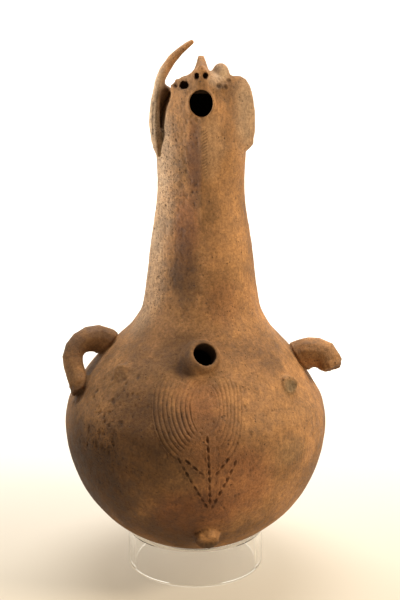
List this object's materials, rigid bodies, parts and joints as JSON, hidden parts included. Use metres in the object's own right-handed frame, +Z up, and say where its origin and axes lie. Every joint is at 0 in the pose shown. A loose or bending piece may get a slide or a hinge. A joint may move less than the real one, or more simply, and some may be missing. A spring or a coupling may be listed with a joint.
{
  "type": "anthropomorphic vessel",
  "caption": "Round fired-clay vessel in the form of a figure: long neck, head thrown back with open mouth, broken arms, chest spout and incised arcs, standing on a clear ring.",
  "frame": {"origin": "on the surface the ring stands on, under the middle of the vessel", "axes": "+Z up along the neck; the mouth, spout and incised front face -Y; +X to the viewer's right"},
  "size_m": [0.2548, 0.242, 0.4873],
  "materials": {
    "fired_clay": "unglazed, matt, pitted and smoke-stained",
    "clear_acrylic": "clear and polished"
  },
  "bodies": {
    "root": {"vessel": "fired_clay", "ring_stand": "clear_acrylic"}
  },
  "joints": []
}
